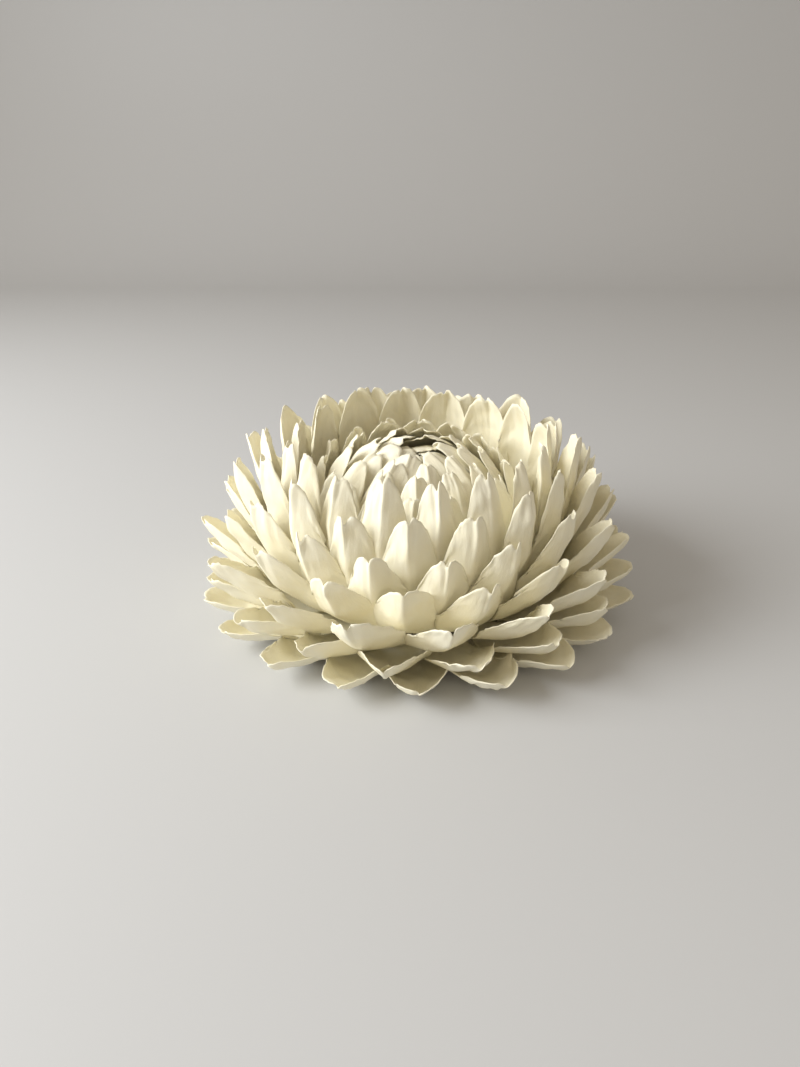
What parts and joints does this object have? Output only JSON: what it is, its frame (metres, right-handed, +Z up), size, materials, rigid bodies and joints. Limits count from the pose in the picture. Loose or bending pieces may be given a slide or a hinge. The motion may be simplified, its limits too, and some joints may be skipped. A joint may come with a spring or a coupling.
{
  "type": "giant paper flower",
  "caption": "Domed paper chrysanthemum head of overlapping cupped petals round a closed bud, on a flat round card back for table or wall.",
  "frame": {"origin": "centre of the backing disc's underside, on the table", "axes": "+Z up through the bud; the head's lower, more closed side faces -Y, its highest ring stands at +Y"},
  "size_m": [0.3184, 0.3198, 0.1415],
  "materials": {
    "ivory_paper": "matte heavy paper, ivory",
    "grey_card": "plain card",
    "core": "matte pulp or foam form"
  },
  "bodies": {
    "root": {"backing_disc": "grey_card", "bud_row_01": "ivory_paper", "bud_row_02": "ivory_paper", "bud_row_03": "ivory_paper", "bud_row_04": "ivory_paper", "bud_row_05": "ivory_paper", "core_form": "core", "lower_rim_petal_01": "ivory_paper", "lower_rim_petal_02": "ivory_paper", "lower_rim_petal_03": "ivory_paper", "lower_rim_petal_04": "ivory_paper", "lower_rim_petal_05": "ivory_paper", "lower_rim_petal_06": "ivory_paper", "lower_rim_petal_07": "ivory_paper", "lower_rim_petal_08": "ivory_paper", "lower_rim_petal_09": "ivory_paper", "lower_rim_petal_10": "ivory_paper", "lower_rim_petal_11": "ivory_paper", "lower_rim_petal_12": "ivory_paper", "lower_rim_petal_13": "ivory_paper", "lower_rim_petal_14": "ivory_paper", "lower_rim_petal_15": "ivory_paper", "lower_rim_petal_16": "ivory_paper", "lower_rim_petal_17": "ivory_paper", "lower_rim_petal_18": "ivory_paper", "lower_rim_petal_19": "ivory_paper", "lower_rim_petal_20": "ivory_paper", "ring_row_01": "ivory_paper", "ring_row_02": "ivory_paper", "ring_row_03": "ivory_paper", "ring_row_04": "ivory_paper", "ring_row_05": "ivory_paper", "upper_rim_petal_01": "ivory_paper", "upper_rim_petal_02": "ivory_paper", "upper_rim_petal_03": "ivory_paper", "upper_rim_petal_04": "ivory_paper", "upper_rim_petal_05": "ivory_paper", "upper_rim_petal_06": "ivory_paper", "upper_rim_petal_07": "ivory_paper", "upper_rim_petal_08": "ivory_paper", "upper_rim_petal_09": "ivory_paper", "upper_rim_petal_10": "ivory_paper", "upper_rim_petal_11": "ivory_paper", "upper_rim_petal_12": "ivory_paper", "upper_rim_petal_13": "ivory_paper", "upper_rim_petal_14": "ivory_paper", "upper_rim_petal_15": "ivory_paper", "upper_rim_petal_16": "ivory_paper", "upper_rim_petal_17": "ivory_paper", "upper_rim_petal_18": "ivory_paper"}
  },
  "joints": []
}
